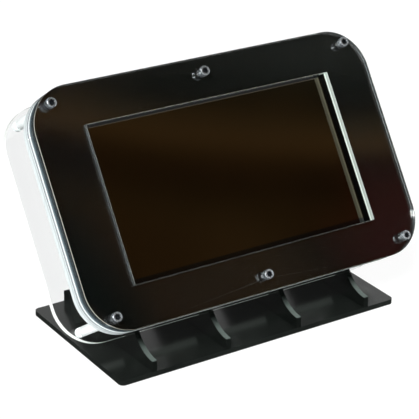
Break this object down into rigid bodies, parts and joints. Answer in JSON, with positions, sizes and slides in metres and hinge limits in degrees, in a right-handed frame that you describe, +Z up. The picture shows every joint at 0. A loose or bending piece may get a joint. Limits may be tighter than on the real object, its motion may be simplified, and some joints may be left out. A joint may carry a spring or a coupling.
{
  "type": "tabletop video poker terminal",
  "caption": "Tabletop touch-screen game terminal: a small wide display in a layered clear and black acrylic case that leans back in a slotted stand with upright ribs.",
  "frame": {"origin": "on the table, in the middle of the width and depth", "axes": "+Z up, +X along the width to the right, the screen faces -Y and leans back towards +Y"},
  "size_m": [0.2134, 0.111, 0.1434],
  "materials": {
    "clear_acrylic": "clear, polished faces, laser-cut edges",
    "black_acrylic": "high gloss",
    "screw_steel": "bright nickel-plated steel",
    "touch_glass": "polished",
    "display_glass": "polished, dark brown when off",
    "tray_steel": "satin",
    "light_guide": "satin white",
    "foam_rubber": "matte",
    "circuit_board": "satin solder mask",
    "white_nylon": "satin",
    "chip_plastic": "matte moulded",
    "coil_ferrite": "matte",
    "capacitor_aluminium": "satin",
    "socket_plastic": "matte",
    "amber_film": "satin film",
    "ribbon_film": "satin film",
    "standoff_brass": "turned",
    "heat_sink_aluminium": "satin",
    "header_plastic": "matte moulded",
    "shell_steel": "bright stamped",
    "card_plastic": "matte",
    "button_plastic": "matte",
    "stand_acrylic": "gloss with light dust"
  },
  "bodies": {
    "stand": {"stand_base": "stand_acrylic", "stand_rib_1": "stand_acrylic", "stand_rib_2": "stand_acrylic", "stand_rib_3": "stand_acrylic", "stand_rib_4": "stand_acrylic"},
    "case": {"front_cover": "clear_acrylic", "bezel": "black_acrylic", "front_spacer": "clear_acrylic", "rear_spacer": "clear_acrylic", "back_cover": "clear_acrylic", "case_standoffs": "white_nylon", "front_screws": "screw_steel", "rear_screws": "white_nylon", "touch_panel": "touch_glass", "display_glass": "display_glass", "backlight": "light_guide", "display_tray": "tray_steel", "display_clips": "tray_steel", "clip_screws": "screw_steel", "clip_pads": "foam_rubber", "driver_board": "circuit_board", "driver_pillars": "white_nylon", "driver_chip": "chip_plastic", "driver_coil": "coil_ferrite", "driver_capacitors": "capacitor_aluminium", "display_ribbon_socket": "socket_plastic", "touch_ribbon_socket": "socket_plastic", "driver_link_socket": "socket_plastic", "display_ribbon": "amber_film", "touch_ribbon": "amber_film", "link_ribbon": "ribbon_film", "main_board": "circuit_board", "board_standoffs": "standoff_brass", "board_screws": "screw_steel", "board_rear_screws": "screw_steel", "processor": "chip_plastic", "heat_sink": "heat_sink_aluminium", "memory_chips": "chip_plastic", "power_chip": "chip_plastic", "board_capacitors": "capacitor_aluminium", "pin_header": "header_plastic", "usb_socket": "shell_steel", "usb_tongues": "header_plastic", "network_socket": "shell_steel", "power_jack": "header_plastic", "board_link_socket": "socket_plastic", "card_socket": "shell_steel", "power_button_body": "shell_steel", "reset_button_body": "shell_steel"},
    "card": {"memory_card": "card_plastic"},
    "power_key": {"power_button": "button_plastic"},
    "reset_key": {"reset_button": "button_plastic"}
  },
  "joints": [
    {"name": "case_lift_off", "type": "slide", "parent": "stand", "child": "case", "axis": [0, 0.5664, 0.8241], "range_m": [0, 0.045]},
    {"name": "card_slide", "type": "slide", "parent": "case", "child": "card", "axis": [1, 0, 0], "range_m": [0, 0.015]},
    {"name": "power_press", "type": "slide", "parent": "case", "child": "power_key", "axis": [0, -0.5664, -0.8241], "range_m": [0, 0.00025], "stiffness_N_per_m": 2000},
    {"name": "reset_press", "type": "slide", "parent": "case", "child": "reset_key", "axis": [0, -0.5664, -0.8241], "range_m": [0, 0.00025], "stiffness_N_per_m": 2000}
  ]
}
